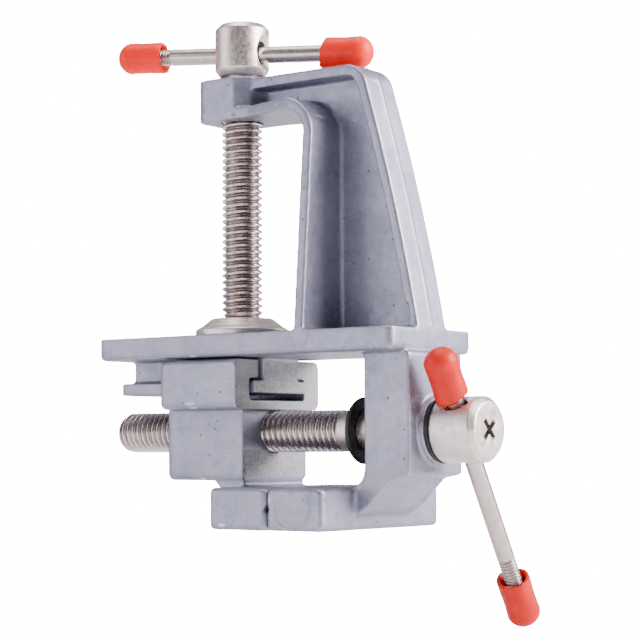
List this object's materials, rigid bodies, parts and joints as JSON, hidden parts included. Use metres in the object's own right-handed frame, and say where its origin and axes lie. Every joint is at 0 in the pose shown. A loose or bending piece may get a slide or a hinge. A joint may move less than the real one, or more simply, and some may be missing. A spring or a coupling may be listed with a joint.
{
  "type": "bench vise",
  "caption": "Small clamp-on bench vise with a C-shaped table clamp, a moving jaw on a T rail, and screws turned by sliding tommy bars with soft caps.",
  "frame": {"origin": "clamp screw's axis at the plate's clamping face", "axes": "+X along the vise screw towards its head; +Z from the plate towards the clamp screw's head, up as pictured; +Y completes the frame, along the jaws. In use on a table top the vise is turned over, so that the plate's clamping face lies on the table and the jaws are on top."},
  "size_m": [0.1035, 0.0482, 0.1396],
  "materials": {
    "cast_aluminium": "as-cast satin, fine grain with small pits",
    "nickel_steel": "nickel plated, semi-gloss",
    "black_steel": "black oxide",
    "red_vinyl": "soft glossy dipped vinyl"
  },
  "bodies": {
    "frame": {"frame_casting": "cast_aluminium"},
    "moving_jaw": {"moving_jaw": "cast_aluminium"},
    "vise_screw": {"vise_screw": "nickel_steel", "thrust_washer": "black_steel", "retaining_ring": "black_steel"},
    "vise_bar": {"vise_bar_rod": "nickel_steel", "vise_bar_cap_upper": "red_vinyl", "vise_bar_cap_lower": "red_vinyl"},
    "clamp_pad": {"clamp_pad": "nickel_steel"},
    "clamp_screw": {"clamp_screw": "nickel_steel"},
    "clamp_bar": {"clamp_bar_rod": "nickel_steel", "clamp_bar_cap_left": "red_vinyl", "clamp_bar_cap_right": "red_vinyl"}
  },
  "joints": [
    {"name": "vise_turn", "type": "hinge", "parent": "frame", "child": "vise_screw", "pos_m": [0, 0, -0.0221], "axis": [1, 0, 0], "range_deg": [0, 5400]},
    {"name": "jaw_slide", "type": "slide", "parent": "frame", "child": "moving_jaw", "axis": [-1, 0, 0], "range_m": [0, 0.02381]},
    {"name": "vise_bar_slide", "type": "slide", "parent": "vise_screw", "child": "vise_bar", "axis": [-0.0262, -0.4816, 0.876], "range_m": [0, 0.0291]},
    {"name": "clamp_lift", "type": "slide", "parent": "frame", "child": "clamp_pad", "axis": [0, 0, 1], "range_m": [0, 0.04286]},
    {"name": "clamp_turn", "type": "hinge", "parent": "clamp_pad", "child": "clamp_screw", "pos_m": [0, 0, 0], "axis": [0, 0, 1], "range_deg": [0, 9720]},
    {"name": "clamp_bar_slide", "type": "slide", "parent": "clamp_screw", "child": "clamp_bar", "axis": [0.9762, 0.2075, -0.0628], "range_m": [-0.0138, 0.0136]}
  ],
  "couplings": [
    {"joint": "vise_turn", "follows": "jaw_slide", "rad_per_m": 3957.9},
    {"joint": "clamp_turn", "follows": "clamp_lift", "rad_per_m": 3957.9}
  ]
}
